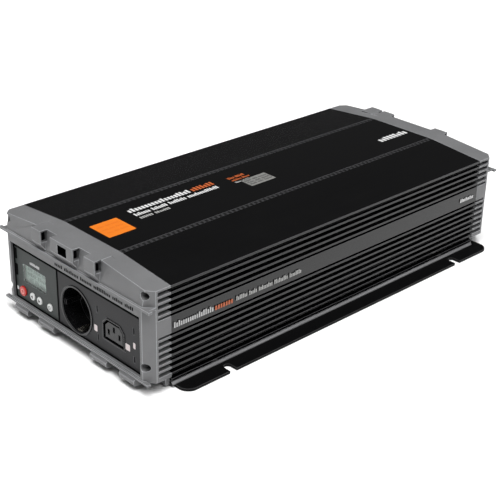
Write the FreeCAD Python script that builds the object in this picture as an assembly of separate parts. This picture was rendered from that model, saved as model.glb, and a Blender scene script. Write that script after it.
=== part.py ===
import FreeCAD, Part
import math
import os

# Power inverter, millimetres.  X runs across the width, Y along the length with the
# socket end at -Y, Z up.  The origin is the centre of the underside.

# --- driving dimensions -------------------------------------------------------------
bodyWidth = 200.0          # over the tips of the cooling fins
bodyLength = 390.0         # extruded housing, without the end caps
baseThick = 2.5            # mounting plate
plateWidth = 230.0         # over the two mounting flanges
plateLength = 396.0
plateShift = 6.0           # the plate sits a little towards the battery end
slotY = 148.0              # mounting slots, from the middle of the plate
slotReach = 7.0            # round end of a slot, in from the plate edge
footZ = 6.5                # underside of the lowest fin
sideTopZ = 92.5            # top edge of the side walls
crownZ = 98.0              # flat middle facet of the top
creaseX = 38.0             # where the middle facet meets the two sloping ones
finDepth = 8.0
finPitch = 5.65
finThick = 2.0
wallThick = 3.0
topThick = 3.0

capDepth = 24.0            # end cap, housing to front frame
capBottomZ = 10.5
cornerCut = 8.0            # chamfer on the upright corners of the cap
lipZ = 78.5                # top of the rib that runs across the cap
windowX = 89.0             # half width of the window in the cap
windowLowZ = 14.0
windowHighZ = 68.5
blockReach = 27.0          # foremost face of the hood blocks
footLowZ = 4.0             # underside of the small feet below the cap
lipX = 103.2               # half length of the rib, past the side walls

frontLedge = 17.0          # depth of the pocket that holds the front panel
rearLedge = 8.0
panelThick = 2.0
moduleThick = 3.0
gap = 0.3

screwX = 93.0
screwHighZ = 88.0
screwLowZ = 24.5

socketX = 2.0
socketZ = 37.0
socketR = 19.75            # earthed round socket recess
outletX = 52.0
outletZ = 37.0

powerX, keyZ = -77.0, 23.5
keyXs = (-63.0, -52.5, -37.0)
powerR = 4.6
keyR = 3.4

fanSize = 50.0
fanThick = 20.0
fanXs = (6.0, 60.0)
fanZ = 41.5
guardThick = 2.8
terminalXs = (-38.0, -66.0)   # negative, positive
terminalZ = 47.0
studR = 4.0
studInside = 22.0
studOutside = 17.5
busZ = 31.0                   # horizontal run of the copper bars

halfLength = bodyLength / 2
halfWidth = bodyWidth / 2
frontY = -halfLength
rearY = halfLength
panelY = frontY - frontLedge          # outer face of the front panel
moduleY = panelY - moduleThick        # outer face of the display and socket modules
rearPanelY = rearY + rearLedge        # outer face of the rear panel
boardZ = 12.0
boardThick = 1.6

nodes = {}


# --- small helpers --------------------------------------------------------------------
def box(x0, x1, y0, y1, z0, z1):
    return Part.makeBox(x1 - x0, y1 - y0, z1 - z0, FreeCAD.Vector(x0, y0, z0))


def rodY(x, z, r, y0, y1):
    return Part.makeCylinder(r, y1 - y0, FreeCAD.Vector(x, y0, z), FreeCAD.Vector(0, 1, 0))


def rodZ(x, y, r, z0, z1):
    return Part.makeCylinder(r, z1 - z0, FreeCAD.Vector(x, y, z0), FreeCAD.Vector(0, 0, 1))


def rodX(y, z, r, x0, x1):
    return Part.makeCylinder(r, x1 - x0, FreeCAD.Vector(x0, y, z), FreeCAD.Vector(1, 0, 0))


def prismY(points, y0, y1):
    """Closed outline in X and Z, drawn out along Y."""
    corners = [FreeCAD.Vector(x, y0, z) for x, z in points]
    face = Part.Face(Part.makePolygon(corners + corners[:1]))
    return face.extrude(FreeCAD.Vector(0, y1 - y0, 0))


def prismX(points, x0, x1):
    """Closed outline in Y and Z, drawn out along X."""
    corners = [FreeCAD.Vector(x0, y, z) for y, z in points]
    face = Part.Face(Part.makePolygon(corners + corners[:1]))
    return face.extrude(FreeCAD.Vector(x1 - x0, 0, 0))


def prismZ(points, z0, z1):
    """Closed outline in X and Y, drawn out along Z."""
    corners = [FreeCAD.Vector(x, y, z0) for x, y in points]
    face = Part.Face(Part.makePolygon(corners + corners[:1]))
    return face.extrude(FreeCAD.Vector(0, 0, z1 - z0))


def roundedBoxY(x0, x1, z0, z1, r, y0, y1):
    """Plate standing across Y with its four corners rounded."""
    plate = box(x0, x1, y0, y1, z0, z1)
    upright = [e for e in plate.Edges if abs(e.BoundBox.YLength - (y1 - y0)) < 1e-6]
    return plate.makeFillet(r, upright)


def fuseAll(shapes):
    return shapes[0].multiFuse(shapes[1:]).removeSplitter()


def mirrorX(shape):
    return shape.mirror(FreeCAD.Vector(0, 0, 0), FreeCAD.Vector(1, 0, 0))


def mirrorY(shape):
    return shape.mirror(FreeCAD.Vector(0, 0, 0), FreeCAD.Vector(0, 1, 0))


def group(shapes):
    return Part.makeCompound(shapes)


# --- housing --------------------------------------------------------------------------
def finBands():
    """Heights of everything that reaches the fin-tip plane, from the bottom up."""
    lower = [(12.4 + finPitch * i, 12.4 + finPitch * i + finThick) for i in range(7)]
    upper = [(67.9 + finPitch * i, 67.9 + finPitch * i + finThick) for i in range(5)]
    upper[-1] = (upper[-1][0], sideTopZ)
    return [(footZ, 8.5)] + lower + [(50.4, 65.8)] + upper


def creaseTeeth():
    """Fine parallel grooves pressed along the crease of the top."""
    points = []
    for i in range(3):
        x = creaseX + 1.7 - 1.7 * i
        slope = (crownZ - sideTopZ) / (halfWidth - creaseX)
        z = crownZ - max(0.0, x - creaseX) * slope
        points += [(x + 0.5, z), (x, z - 0.7), (x - 0.5, z)]
    return points


def housingOutline():
    right = [(halfWidth + 0.8, baseThick), (halfWidth + 0.8, 3.6), (halfWidth - 0.8, 5.4), (97.0, 5.4),
             (97.0, footZ)]
    for low, high in finBands():
        right += [(halfWidth, low), (halfWidth, high)]
        if high < sideTopZ:
            right += [(halfWidth - finDepth, high)]
            right += [(halfWidth - finDepth, nextLow(high))]
    right += creaseTeeth()
    left = [(-x, z) for x, z in reversed(right)]
    return right + left


def nextLow(height):
    return min(low for low, high in finBands() if low > height)


def housing():
    outer = prismY(housingOutline(), frontY, rearY)
    innerX = halfWidth - finDepth - wallThick
    slope = (crownZ - sideTopZ) / (halfWidth - creaseX)
    innerSideZ = crownZ - topThick - (innerX - creaseX) * slope
    cavity = [(84.0, baseThick), (84.0, 8.5), (innerX, 12.0), (innerX, innerSideZ),
              (creaseX, crownZ - topThick)]
    cavity = cavity + [(-x, z) for x, z in reversed(cavity)]
    shell = outer.cut(prismY(cavity, frontY, rearY))
    ports = []
    holes = []
    for x in (-screwX, screwX):
        for z in (screwLowZ, screwHighZ):
            ports.append(rodY(x, z, 4.0, frontY, rearY))
            holes.append(rodY(x, z, 2.1, frontY, frontY + 18.0))
            holes.append(rodY(x, z, 2.1, rearY - 18.0, rearY))
        for y in (-150.0, 0.0, 150.0):
            holes.append(rodZ(math.copysign(90.5, x), y, 1.6, baseThick, 8.0))
    shell = fuseAll([shell] + ports)
    return shell.cut(group(holes))


def basePlate():
    plate = box(-plateWidth / 2, plateWidth / 2, plateShift - plateLength / 2,
                plateShift + plateLength / 2, 0, baseThick)
    upright = [e for e in plate.Edges if abs(e.BoundBox.ZLength - baseThick) < 1e-6]
    plate = plate.makeFillet(10.0, upright)
    cuts = []
    for side in (-1, 1):
        for y in (plateShift - slotY, plateShift + slotY):
            inner = side * (plateWidth / 2 - slotReach)
            outer = side * (plateWidth / 2 + 1.0)
            cuts.append(box(min(inner, outer), max(inner, outer), y - 3.5, y + 3.5, -1, 4))
            cuts.append(rodZ(inner, y, 3.5, -1, 4))
        for y in (-150.0, 0.0, 150.0):
            cuts.append(rodZ(side * 90.5, y, 1.8, -1, 4))
            cuts.append(Part.makeCone(3.4, 1.8, 1.7, FreeCAD.Vector(side * 90.5, y, 0)))
    return plate.cut(group(cuts))


def baseScrews():
    screws = []
    for x in (-90.5, 90.5):
        for y in (-150.0, 0.0, 150.0):
            head = Part.makeCone(3.2, 1.5, 1.6, FreeCAD.Vector(x, y, 0.05))
            socket = rodZ(x, y, 0.9, 0, 0.8)
            screws.append(head.fuse(rodZ(x, y, 1.5, 1.5, 7.6)).cut(socket))
    return group(screws)


# --- end caps -------------------------------------------------------------------------
def crownPoints(inset=0.0):
    return [(halfWidth - inset, sideTopZ - inset * 0.6), (creaseX, crownZ - inset),
            (-creaseX, crownZ - inset), (-halfWidth + inset, sideTopZ - inset * 0.6)]


def hoodBlock(x0, x1):
    """One of the flat-topped blocks that stand out of the hood."""
    y = frontY - blockReach
    outline = [(frontY - 10.0, crownZ), (y, crownZ), (y, 86.0), (y + 5.0, lipZ + 0.5),
               (frontY - 10.0, lipZ + 0.5)]
    return prismX(outline, x0, x1)


def sidePockets(x0, x1):
    """Recesses in both flanks of a hood block."""
    y = frontY - blockReach
    return [box(x0 - 1, x0 + 4.5, y + 1.3, y + 7.0, 87.3, crownZ - 1.4),
            box(x1 - 4.5, x1 + 1, y + 1.3, y + 7.0, 87.3, crownZ - 1.4)]


def footBlock(x0, x1):
    y = frontY - blockReach + 1.0
    outline = [(y + 2.0, footLowZ), (y, footLowZ + 2.0), (y, 9.0), (y + 3.0, capBottomZ + 1.0),
               (frontY - 8.0, capBottomZ + 1.0), (frontY - 8.0, footLowZ)]
    return prismX(outline, x0, x1)


def frontCapShell(ledge, hoodBlocks, lowRibX):
    """End cap in the front position: frame, hood, ribs, feet and screw pockets."""
    outline = [(-halfWidth, capBottomZ), (halfWidth, capBottomZ)] + crownPoints()
    shell = prismY(outline, frontY - capDepth + 1.0, frontY)
    face = frontY - capDepth + 1.0
    cuts = []
    for side in (-1, 1):
        corner = [(side * (halfWidth - cornerCut), face - 1), (side * (halfWidth + 1), face - 1),
                  (side * (halfWidth + 1), face + cornerCut), (side * halfWidth, face + cornerCut),
                  (side * (halfWidth - cornerCut), face)]
        cuts.append(prismZ(corner, 0, crownZ + 1))
        bands = [b for b in finBands() if b[1] > capBottomZ]
        for (low, high), (nextOne, top) in zip(bands, bands[1:]):
            tip, root = side * (halfWidth + 1), side * (halfWidth - 5.0)
            cuts.append(box(min(tip, root), max(tip, root), frontY - 13.0, frontY + 1, high, nextOne))
    slope = [(face - 1, lipZ), (face + 0.5, lipZ), (face + 3.0, crownZ + 1), (face - 1, crownZ + 1)]
    cuts.append(prismX(slope, -halfWidth - 1, halfWidth + 1))
    shell = shell.cut(group(cuts))

    ribFront = face - 1.5
    ribs = [box(-halfWidth, halfWidth, ribFront, face + cornerCut, lipZ - 2.0, lipZ),
            box(-lipX, lipX, ribFront, face + 2.0, lipZ - 2.0, lipZ),
            box(-lowRibX, lowRibX, ribFront, face + 2.0, capBottomZ, capBottomZ + 1.8),
            box(-97.0, 97.0, frontY - 4.0, frontY, baseThick, capBottomZ + 1.0)]
    blocks = [hoodBlock(*span) for span in hoodBlocks]
    for side in (-1, 1):
        blocks.append(footBlock(*sorted((side * 26.0, side * 48.0))))
        blocks.append(footBlock(*sorted((side * 64.5, side * 84.0))))
    shell = fuseAll([shell] + ribs + blocks)

    openings = [box(-windowX, windowX, face - 3, frontY - ledge + 0.01, windowLowZ, windowHighZ),
                box(-87.0, 87.0, frontY - ledge, frontY + 1, windowLowZ - 1.5, windowHighZ + 3.0),
                box(-84.0, 84.0, frontY - 16.0, frontY + 1, 74.5, 89.0)]
    for span in hoodBlocks:
        openings += sidePockets(*span)
        if span[1] - span[0] > 20.0:
            airX = span[0] + 10.0
            openings.append(box(airX, airX + 12.0, face - 6, frontY - 15.0, 86.6, 95.0))
    for x in (-screwX, screwX):
        for z in (screwLowZ, screwHighZ):
            openings.append(rodY(x, z, 2.2, face - 3, frontY + 1))
            openings.append(rodY(x, z, 3.6, face - 3, frontY - 10.0))
    return shell.cut(group(openings))


def capScrews():
    screws = []
    for x in (-screwX, screwX):
        for z in (screwLowZ, screwHighZ):
            head = rodY(x, z, 3.3, frontY - 12.6, frontY - 10.0)
            shank = rodY(x, z, 2.0, frontY - 10.0, frontY + 16.0)
            screws.append(head.fuse(shank).cut(crossSlot(x, z, frontY - 12.6)))
    return group(screws)


def crossSlot(x, z, y):
    bar = box(x - 1.8, x + 1.8, y - 0.1, y + 1.2, z - 0.35, z + 0.35)
    return bar.fuse(box(x - 0.35, x + 0.35, y - 0.1, y + 1.2, z - 1.8, z + 1.8))


# --- front panel and its modules ------------------------------------------------------
def frontPanel():
    plate = box(-86.7, 86.7, panelY, panelY + panelThick, windowLowZ - 1.2, windowHighZ + 2.7)
    cuts = [rodY(socketX, socketZ, 22.3, panelY - 1, panelY + 4),
            box(outletX - 15.3, outletX + 15.3, panelY - 1, panelY + 4, outletZ - 11.3, outletZ + 11.3),
            box(-85.0, -29.0, panelY - 1, panelY + 4, 16.5, 64.0)]
    return plate.cut(group(cuts))


def displayBezel():
    x0, x1 = -windowX + gap, -24.6
    low, high = windowLowZ + gap, windowHighZ - gap
    plate = roundedBoxY(x0, x1, low, high, 3.0, moduleY, panelY - 0.02)
    cuts = [roundedBoxY(-76.0, -42.0, 33.5, 51.0, 1.2, moduleY - 1, panelY + 1),
            rodY(powerX, keyZ, powerR + gap, moduleY - 1, panelY + 1)]
    for x in keyXs:
        cuts.append(rodY(x, keyZ, keyR + gap, moduleY - 1, panelY + 1))
    return plate.cut(group(cuts))


def displayLens():
    return roundedBoxY(-75.9, -42.1, 33.6, 50.9, 1.1, moduleY + 0.4, moduleY + 1.6)


def lcdModule():
    return box(-78.0, -40.0, panelY + 0.1, panelY + 4.0, 31.0, 53.5)


def displayBoard():
    return box(-84.5, -29.5, panelY + 4.2, panelY + 5.8, 18.5, 63.5)


def keypadPad():
    """Rubber switch pad between the keys and the board."""
    return box(-83.5, -31.0, panelY + 3.1, panelY + 4.1, 18.7, 28.5)


def pushButton(x, r, proud):
    cap = rodY(x, keyZ, r, moduleY - proud, panelY + 1.0)
    rim = [e for e in cap.Edges if e.BoundBox.YMax < moduleY - proud + 1e-6]
    cap = cap.makeFillet(0.5, rim)
    return cap.fuse(rodY(x, keyZ, r + 0.9, panelY + gap, panelY + 1.5)).removeSplitter()


def socketPlate():
    x0, x1 = -23.9, windowX - gap
    low, high = windowLowZ + gap, windowHighZ - gap
    plate = box(x0, x1, moduleY, panelY - 0.02, low, high)
    cuts = [rodY(socketX, socketZ, 22.0, moduleY - 1, panelY + 1),
            prismY(outletOutline(14.7, 10.8), moduleY - 1, panelY + 1)]
    for x in (outletX - 21.5, outletX + 26.0):
        for z in (outletZ - 13.0, outletZ + 13.0):
            cuts.append(box(x - 0.7, x + 0.7, moduleY - 1, moduleY + 1.5, z - 3.0, z + 3.0))
    return plate.cut(group(cuts))


def outletOutline(halfX, halfZ):
    """Six-sided outline of the three-pin outlet, cut back at its two top corners."""
    cut = halfZ * 0.55
    points = [(-halfX, -halfZ), (halfX, -halfZ), (halfX, halfZ - cut), (halfX - cut, halfZ),
              (-halfX + cut, halfZ), (-halfX, halfZ - cut)]
    return [(outletX + x, outletZ + z) for x, z in points]


def socketBody():
    """Round earthed socket: cup, side keys and contact floor in one moulding."""
    back = moduleY + 17.5
    cup = rodY(socketX, socketZ, 21.8, moduleY - 0.8, back + 12.0)
    recess = rodY(socketX, socketZ, socketR, moduleY - 2, back)
    keys = [box(socketX - 22, socketX - 17.2, moduleY + 2.0, back, socketZ - 2.4, socketZ + 2.4),
            box(socketX + 17.2, socketX + 22, moduleY + 2.0, back, socketZ - 2.4, socketZ + 2.4)]
    keys = [key.common(rodY(socketX, socketZ, 20.5, moduleY, back)) for key in keys]
    cup = fuseAll([cup.cut(recess)] + keys)
    rim = [e for e in cup.Edges if e.BoundBox.YMax < moduleY - 0.79 and e.BoundBox.XLength < 42.0]
    cup = cup.makeChamfer(0.7, rim)
    holes = [rodY(socketX - 9.5, socketZ, 2.7, back - 1, back + 11.0),
             rodY(socketX + 9.5, socketZ, 2.7, back - 1, back + 11.0)]
    for side in (-1, 1):
        z = socketZ + side * (socketR - 1.0)
        holes.append(box(socketX - 3.3, socketX + 3.3, moduleY + 1.6, back + 6.0,
                         min(z, z + side * 1.9), max(z, z + side * 1.9)))
    return cup.cut(group(holes))


def earthClips():
    """The two sprung earth contacts at the top and bottom of the round recess."""
    clips = []
    for side in (-1, 1):
        outer = socketZ + side * (socketR + 0.7)
        inner = socketZ + side * (socketR - 1.6)
        y = moduleY
        outline = [(y + 2.0, outer), (y + 3.4, inner + side * 1.2), (y + 7.0, inner),
                   (y + 14.0, inner + side * 1.0), (y + 22.0, inner + side * 1.3),
                   (y + 22.0, inner + side * 2.1), (y + 14.0, inner + side * 1.8),
                   (y + 7.0, inner + side * 0.8), (y + 4.0, inner + side * 1.8),
                   (y + 2.8, outer + side * 0.0)]
        clips.append(prismX(outline, socketX - 3.0, socketX + 3.0))
    return group(clips)


def socketContacts():
    back = moduleY + 17.5
    sleeves = []
    for x in (socketX - 9.5, socketX + 9.5):
        tube = rodY(x, socketZ, 2.68, back + 1.0, back + 10.9).cut(rodY(x, socketZ, 2.4, back, back + 9.8))
        sleeves.append(tube)
    return group(sleeves)


def outletBody():
    """Three-pin appliance outlet: centre block standing in a moat."""
    shell = prismY(outletOutline(14.5, 10.6), moduleY - 0.6, moduleY + 27.0)
    moat = prismY(outletOutline(13.2, 9.4), moduleY - 1, moduleY + 16.0)
    block = prismY(outletOutline(11.2, 7.4), moduleY + 0.2, moduleY + 16.0)
    body = fuseAll([shell.cut(moat), block])
    slots = []
    for x, z in outletSlots():
        slots.append(box(x - 1.3, x + 1.3, moduleY - 1, moduleY + 22.0, z - 2.5, z + 2.5))
    return body.cut(group(slots))


def outletSlots():
    return [(outletX - 7.0, outletZ - 1.6), (outletX, outletZ + 2.6), (outletX + 7.0, outletZ - 1.6)]


def outletContacts():
    blades = []
    for x, z in outletSlots():
        for side in (-1, 1):
            near, far = x + side * 0.9, x + side * 1.28
            blades.append(box(min(near, far), max(near, far), moduleY + 3.0, moduleY + 21.9,
                              z - 2.2, z + 2.2))
    return group(blades)


# --- rear panel -----------------------------------------------------------------------
def rearPanel():
    plate = box(-86.7, 86.7, rearPanelY - panelThick, rearPanelY, windowLowZ - 1.2, windowHighZ + 2.7)
    cuts = []
    for x in fanXs:
        cuts.append(rodY(x, fanZ, 23.0, rearPanelY - 4, rearPanelY + 1))
        for dx, dz in fanHoles():
            cuts.append(rodY(x + dx, fanZ + dz, 1.8, rearPanelY - 4, rearPanelY + 1))
    for x in terminalXs:
        cuts.append(rodY(x, terminalZ, 8.3, rearPanelY - 4, rearPanelY + 1))
    cuts.append(rodY(-79.0, 23.0, 2.7, rearPanelY - 4, rearPanelY + 1))
    cuts.append(box(-59.0, -43.0, rearPanelY - 4, rearPanelY + 1, 16.5, 29.5))
    return plate.cut(group(cuts))


def fanHoles():
    return [(dx, dz) for dx in (-20.0, 20.0) for dz in (-20.0, 20.0)]


def fanFrame(x):
    y1 = rearPanelY - panelThick
    y0 = y1 - fanThick
    half = fanSize / 2
    frame = roundedBoxY(x - half, x + half, fanZ - half, fanZ + half, 3.0, y0, y1)
    frame = frame.cut(rodY(x, fanZ, 23.2, y0 - 1, y1 + 1))
    hub = rodY(x, fanZ, 11.5, y0, y0 + 2.0)
    post = rodY(x, fanZ, 2.0, y0 + 2.0, y0 + 6.0)
    spokes = [box(x - 0.8, x + 0.8, y0, y0 + 2.0, fanZ + 10.0, fanZ + 24.0)]
    spokes[0].rotate(FreeCAD.Vector(x, 0, fanZ), FreeCAD.Vector(0, 1, 0), 45)
    for turn in (90, 180, 270):
        spoke = spokes[0].copy()
        spoke.rotate(FreeCAD.Vector(x, 0, fanZ), FreeCAD.Vector(0, 1, 0), turn)
        spokes.append(spoke)
    frame = fuseAll([frame, hub, post] + spokes)
    holes = [rodY(x + dx, fanZ + dz, 1.7, y0 - 1, y1 + 1) for dx, dz in fanHoles()]
    return frame.cut(group(holes))


def fanRotor(x):
    """Hub cup on its bearing post, with seven pitched blades."""
    y0 = rearPanelY - panelThick - fanThick
    hub = rodY(x, fanZ, 11.0, y0 + 2.4, y0 + 18.5)
    hub = hub.cut(rodY(x, fanZ, 2.06, y0 + 2.0, y0 + 6.3))
    blade = box(x - 0.7, x + 0.7, y0 + 3.2, y0 + 17.5, fanZ + 10.2, fanZ + 22.2)
    blade.rotate(FreeCAD.Vector(x, y0 + 10.3, fanZ), FreeCAD.Vector(0, 0, 1), 38)
    sweep = rodY(x, fanZ, 22.4, y0 + 2.4, y0 + 18.5)
    blades = []
    for i in range(7):
        copy = blade.copy()
        copy.rotate(FreeCAD.Vector(x, 0, fanZ), FreeCAD.Vector(0, 1, 0), 360.0 * i / 7)
        blades.append(copy.common(sweep))
    return fuseAll([hub] + blades)


def fanGuard(x):
    """Wire guard: rings on two crossed struts, with an eye at each corner."""
    y = rearPanelY + 1.1
    parts = []
    for r in (6.0, 12.0, 18.0, 23.5):
        ring = Part.makeTorus(r, 0.75, FreeCAD.Vector(x, y, fanZ), FreeCAD.Vector(0, 1, 0))
        parts.append(ring)
    reach = math.hypot(20.0, 20.0)
    for turn in (45, -45):
        strut = rodX(y + 0.9, fanZ, 0.75, x - reach, x + reach)
        strut.rotate(FreeCAD.Vector(x, y, fanZ), FreeCAD.Vector(0, 1, 0), turn)
        parts.append(strut)
    for dx, dz in fanHoles():
        parts.append(rodY(x + dx, fanZ + dz, 3.4, rearPanelY, rearPanelY + guardThick))
    guard = fuseAll(parts)
    holes = [rodY(x + dx, fanZ + dz, 1.8, y - 4, y + 4) for dx, dz in fanHoles()]
    return guard.cut(group(holes))


def fanScrews():
    screws = []
    y = rearPanelY + guardThick
    for x in fanXs:
        for dx, dz in fanHoles():
            head = rodY(x + dx, fanZ + dz, 3.0, y, y + 2.0)
            shank = rodY(x + dx, fanZ + dz, 1.5, y - 16.0, y)
            slot = crossSlot(x + dx, fanZ + dz, y + 0.9)
            screws.append(head.fuse(shank).cut(slot))
    return group(screws)


def terminalBase(x):
    """Moulded insulator that carries a stud through the rear panel."""
    flange = rodY(x, terminalZ, 11.5, rearPanelY, rearPanelY + 3.0)
    neck = rodY(x, terminalZ, 8.1, rearPanelY - 8.0, rearPanelY)
    ring = rodY(x, terminalZ, 9.5, rearPanelY - 8.0, rearPanelY - 2.1)
    body = fuseAll([flange, neck, ring])
    rim = [e for e in body.Edges if e.BoundBox.YMin > rearPanelY + 2.9]
    body = body.makeChamfer(0.6, rim)
    return body.cut(rodY(x, terminalZ, studR, rearPanelY - 9, rearPanelY + 4))


def terminalStud(x):
    stud = rodY(x, terminalZ, studR, rearPanelY - studInside, rearPanelY + studOutside)
    ends = [e for e in stud.Edges if e.BoundBox.YMin > rearPanelY + studOutside - 0.1]
    return stud.makeChamfer(0.6, ends)


def hexNut(x, z, flats, bore, y0, y1):
    r = flats / 2 / math.cos(math.pi / 6)
    turns = [math.pi / 6 + i * math.pi / 3 for i in range(6)]
    nut = prismY([(x + r * math.cos(t), z + r * math.sin(t)) for t in turns], y0, y1)
    round_ = Part.makeCone(r + 0.9, r - 0.7, y1 - y0, FreeCAD.Vector(x, y0, z), FreeCAD.Vector(0, 1, 0))
    return nut.common(round_).cut(rodY(x, z, bore, y0 - 1, y1 + 1))


def terminalNuts():
    nuts = []
    for x in terminalXs:
        washer = rodY(x, terminalZ, 8.0, rearPanelY + 3.0, rearPanelY + 4.5)
        nuts.append(washer.cut(rodY(x, terminalZ, studR, rearPanelY, rearPanelY + 6)))
        nuts.append(hexNut(x, terminalZ, 13.0, studR, rearPanelY + 4.5, rearPanelY + 11.0))
    return group(nuts)


def earthStud():
    return rodY(-79.0, 23.0, 2.5, rearPanelY - 8.0, rearPanelY + 14.0)


def earthNuts():
    outer = hexNut(-79.0, 23.0, 8.0, 2.5, rearPanelY, rearPanelY + 4.0)
    inner = hexNut(-79.0, 23.0, 8.0, 2.5, rearPanelY - panelThick - 4.0, rearPanelY - panelThick)
    return group([outer, inner])


def remoteJack():
    jack = box(-58.8, -43.2, rearPanelY - 14.0, rearPanelY + 0.6, 16.7, 29.3)
    mouth = box(-56.8, -45.2, rearPanelY - 11.0, rearPanelY + 1, 19.0, 26.0)
    latch = box(-53.5, -48.5, rearPanelY - 11.0, rearPanelY + 1, 25.9, 27.8)
    return jack.cut(mouth).cut(latch)


# --- electronics inside ---------------------------------------------------------------
def mainBoard():
    return box(-83.0, 83.0, -160.0, 172.0, boardZ, boardZ + boardThick)


def standoffs():
    posts = []
    for x in (-74.0, 74.0):
        for y in (-148.0, 8.0, 160.0):
            posts.append(rodZ(x, y, 3.5, baseThick, boardZ))
    return group(posts)


def boardScrews():
    screws = []
    for x in (-74.0, 74.0):
        for y in (-148.0, 8.0, 160.0):
            screws.append(rodZ(x, y, 2.9, boardZ + boardThick, boardZ + boardThick + 1.8))
    return group(screws)


def transformerCores():
    """Four ferrite E cores, each closed round a winding."""
    cores = []
    for i in range(4):
        y = 22.0 + 34.0 * i
        z = boardZ + boardThick
        core = box(-24.0, 24.0, y - 11.0, y + 11.0, z + 6.0, z + 46.0)
        core = core.cut(box(-16.0, -8.0, y - 12.0, y + 12.0, z + 13.0, z + 39.0))
        core = core.cut(box(8.0, 16.0, y - 12.0, y + 12.0, z + 13.0, z + 39.0))
        cores.append(core)
    return group(cores)


def transformerWindings():
    windings = []
    for i in range(4):
        y = 22.0 + 34.0 * i
        z = boardZ + boardThick
        coil = box(-15.5, 15.5, y - 15.0, y + 15.0, z + 13.5, z + 38.5)
        upright = [e for e in coil.Edges if e.BoundBox.ZLength > 20]
        coil = coil.makeFillet(4.0, upright)
        coil = coil.cut(box(-8.0, 8.0, y - 11.0, y + 11.0, z + 12.0, z + 40.0))
        pins = box(-15.5, 15.5, y - 14.6, y - 12.2, z, z + 13.6)
        windings.append(coil.fuse(pins))
    return group(windings)


def canCapacitors(xs, ys, r, height):
    cans = []
    for x in xs:
        for y in ys:
            can = rodZ(x, y, r, boardZ + boardThick, boardZ + boardThick + height)
            top = [e for e in can.Edges if e.BoundBox.ZMin > boardZ + boardThick + height - 0.01]
            cans.append(can.makeFillet(1.2, top))
    return group(cans)


def powerTransistors(side):
    """Row of transistors standing on the board against the side wall."""
    row = []
    for i in range(10):
        y = -120.0 + 28.0 * i
        near, far = side * 84.1, side * 88.95
        row.append(box(min(near, far), max(near, far), y - 7.8, y + 7.8, 22.0, 42.0))
        near, far = side * 81.0, side * 82.2
        row.append(box(min(near, far), max(near, far), y - 5.0, y + 5.0, boardZ + boardThick, 19.0))
        bend = [(side * 81.0, 19.0), (side * 82.2, 19.0), (side * 87.5, 22.0), (side * 86.3, 22.0)]
        row.append(prismY(bend, y - 5.0, y + 5.0))
    merged = []
    for i in range(10):
        merged.append(fuseAll(row[3 * i:3 * i + 3]))
    return group(merged)


def clampBar(side):
    near, far = side * 81.5, side * 84.0
    return box(min(near, far), max(near, far), -132.0, 140.0, 29.0, 38.0)


def inductor():
    """Toroid choke of the output filter, standing on its edge."""
    centre = FreeCAD.Vector(0, -112.0, boardZ + boardThick + 24.2)
    ring = Part.makeTorus(16.5, 7.5, centre, FreeCAD.Vector(0, 1, 0))
    return ring


def chokeBand():
    z = boardZ + boardThick
    return box(-10.0, 10.0, -120.0, -104.0, z, z + 2.0)


def controlBoard():
    return box(30.0, 31.6, -150.0, -60.0, boardZ + boardThick, 62.0)


def relay():
    z = boardZ + boardThick
    return box(-62.0, -34.0, -146.0, -118.0, z, z + 25.0)


def fuses():
    z = boardZ + boardThick
    blades = []
    for i in range(6):
        x = -58.0 + 10.0 * i
        body = box(x - 2.5, x + 2.5, 150.0, 169.5, z + 3.0, z + 13.0)
        blades.append(body.fuse(box(x - 2.0, x + 2.0, 152.0, 168.0, z, z + 3.0)))
    return group(blades)


def busBar(x, y0):
    """Copper strip from a terminal stud down to the board."""
    back = rearPanelY - studInside
    z = boardZ + boardThick
    plate = box(x - 9.0, x + 9.0, back + 10.0, back + 12.0, busZ, terminalZ + 9.0)
    shelf = box(x - 9.0, x + 9.0, y0, back + 12.0, busZ, busZ + 2.0)
    leg = box(x - 9.0, x + 9.0, y0, y0 + 2.0, z, busZ + 1.0)
    bar = fuseAll([plate, shelf, leg])
    return bar.cut(rodY(x, terminalZ, studR, back, back + 20.0))


def busNuts():
    back = rearPanelY - studInside
    nuts = []
    for x in terminalXs:
        nuts.append(hexNut(x, terminalZ, 13.0, studR, back + 3.5, back + 10.0))
    return group(nuts)


def terminalStrip():
    """Screw strip on the board where the outlet wires start."""
    z = boardZ + boardThick
    return box(8.0, 26.0, -158.0, -146.0, z, z + 12.0)


def boxedWire(points, r):
    """Insulated wire: straight runs joined by tangent arcs."""
    corners = [FreeCAD.Vector(*p) for p in points]
    edges = []
    start = corners[0]
    for i in range(1, len(corners) - 1):
        here = corners[i]
        into = (here - corners[i - 1]).normalize()
        out = (corners[i + 1] - here).normalize()
        reach = 0.45 * min((here - corners[i - 1]).Length, (corners[i + 1] - here).Length)
        a = here - into * reach
        b = here + out * reach
        bisector = (out - into).normalize()
        half = into.getAngle(out) / 2
        radius = reach / math.tan(half)
        middle = here + bisector * (radius / math.cos(half) - radius)
        edges.append(Part.LineSegment(start, a).toShape())
        edges.append(Part.Arc(a, middle, b).toShape())
        start = b
    edges.append(Part.LineSegment(start, corners[-1]).toShape())
    path = Part.Wire(edges)
    ring = Part.Wire(Part.makeCircle(r, corners[0], corners[1] - corners[0]))
    return path.makePipeShell([ring], True, True)


def outletWires():
    """Three insulated wires from the screw strip to the two outlets."""
    wires = []
    back = moduleY + 30.0
    for i, x in enumerate((10.5, 14.0, 17.5)):
        z = 20.0
        wires.append(boxedWire([(x + 0.5, -158.2, z), (x, -165.0, z), (x - 2.0, -172.0, z + 6.0),
                                (x - 10.0, -178.0, z + 12.0), (x - 13.0, back + 0.2, z + 15.0)], 1.2))
    return group(wires)


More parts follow.
